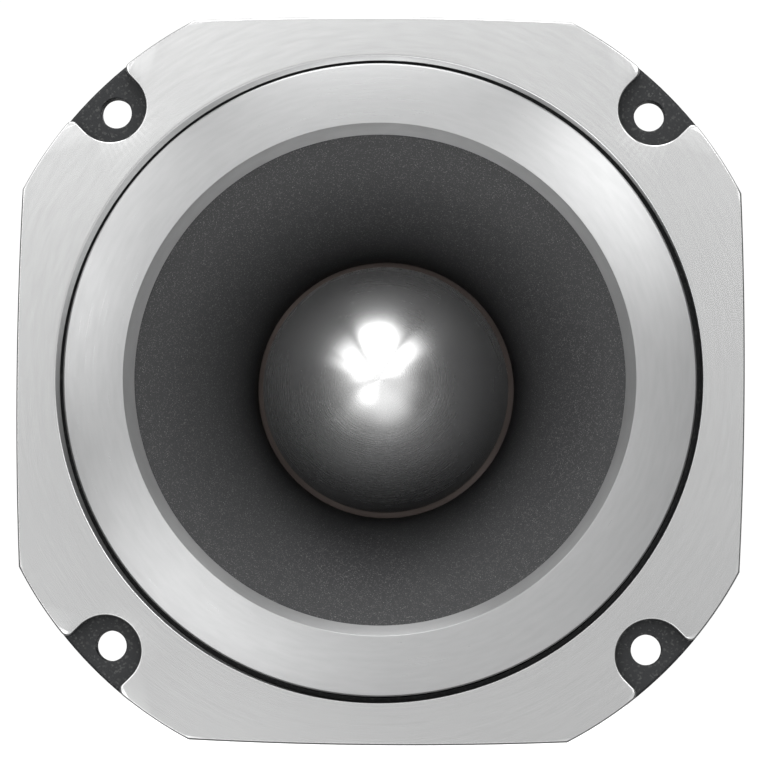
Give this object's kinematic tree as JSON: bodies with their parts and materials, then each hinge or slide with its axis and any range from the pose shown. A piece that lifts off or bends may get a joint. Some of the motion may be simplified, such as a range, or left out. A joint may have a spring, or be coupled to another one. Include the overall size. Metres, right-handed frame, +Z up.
{
  "type": "car tweeter",
  "caption": "Panel-mounted car tweeter: a flared horn round a turned bullet, on a ring-diaphragm driver, behind a square bright trim plate with a screw ear at each corner.",
  "frame": {"origin": "On the horn's axis, in the plane of the mounting frame's rear face, which lies against the panel.", "axes": "The horn looks along -Y, the driver and its terminals are towards +Y, and +Z is up with the terminals low on the rear cover."},
  "size_m": [0.098, 0.0852, 0.098],
  "materials": {
    "turned_aluminium": "face-turned and polished, fine circular tool marks",
    "turned_ring": "face-turned, fine circular tool marks, bright bevels",
    "polished_aluminium": "turned and polished",
    "black_powder_coat": "matte black powder coat with a fine texture",
    "horn_black": "satin charcoal coat with a fine sparkle",
    "cover_black": "satin black moulded plastic",
    "zinc_steel": "bright zinc plate",
    "ferrite": "sintered ferrite, matte dark grey",
    "titanium": "formed titanium foil",
    "phenolic": "brown phenolic board",
    "former_foil": "plain foil",
    "copper_wire": "lacquered copper wire",
    "brass": "bright plated brass",
    "terminal_black": "black moulded plastic",
    "red_plastic": "red moulded plastic",
    "black_plastic": "black moulded plastic",
    "capacitor_sleeve": "dark blue shrink sleeve",
    "lead_red": "red insulated lead",
    "lead_black": "black insulated lead"
  },
  "bodies": {
    "housing": {"face_plate": "turned_aluminium", "mounting_frame": "black_powder_coat", "plate_screw_1": "zinc_steel", "plate_screw_2": "zinc_steel", "plate_screw_3": "zinc_steel", "plate_screw_4": "zinc_steel", "horn_screw_1": "zinc_steel", "horn_screw_2": "zinc_steel", "horn_screw_3": "zinc_steel", "horn_screw_4": "zinc_steel", "horn": "horn_black", "trim_ring": "turned_ring", "bullet": "polished_aluminium", "bullet_bolt": "zinc_steel", "bullet_bolt_washer": "zinc_steel", "diaphragm_seat": "phenolic", "diaphragm_mount_ring": "phenolic", "coil_lead_positive": "copper_wire", "coil_lead_negative": "copper_wire", "lead_tab_positive": "brass", "lead_tab_negative": "brass", "top_plate": "zinc_steel", "magnet": "ferrite", "pole_yoke": "zinc_steel", "driver_screw_1": "zinc_steel", "driver_screw_2": "zinc_steel", "driver_screw_3": "zinc_steel", "driver_screw_4": "zinc_steel", "rear_cover": "cover_black", "cover_screw_1": "zinc_steel", "cover_screw_2": "zinc_steel", "cover_screw_3": "zinc_steel", "terminal_block": "terminal_black", "terminal_screw_1": "zinc_steel", "terminal_screw_2": "zinc_steel", "terminal_post_red": "brass", "terminal_post_black": "brass", "push_spring_red": "zinc_steel", "push_spring_black": "zinc_steel", "capacitor": "capacitor_sleeve", "capacitor_clip": "zinc_steel", "lead_post_to_capacitor": "lead_red", "lead_capacitor_to_tab": "lead_red", "lead_return": "lead_black"},
    "moving_coil": {"diaphragm": "titanium", "coil_former": "former_foil", "voice_coil": "copper_wire"},
    "red_cap": {"push_cap_red": "red_plastic"},
    "black_cap": {"push_cap_black": "black_plastic"}
  },
  "joints": [
    {"name": "coil_travel", "type": "slide", "parent": "housing", "child": "moving_coil", "axis": [0, -1, 0], "range_m": [-0.00025, 0.00025], "stiffness_N_per_m": 2000},
    {"name": "red_push", "type": "slide", "parent": "housing", "child": "red_cap", "axis": [0, -1, 0], "range_m": [0, 0.0028], "stiffness_N_per_m": 150, "deforming": ["push_spring_red"]},
    {"name": "black_push", "type": "slide", "parent": "housing", "child": "black_cap", "axis": [0, -1, 0], "range_m": [0, 0.0028], "stiffness_N_per_m": 150, "deforming": ["push_spring_black"]}
  ]
}
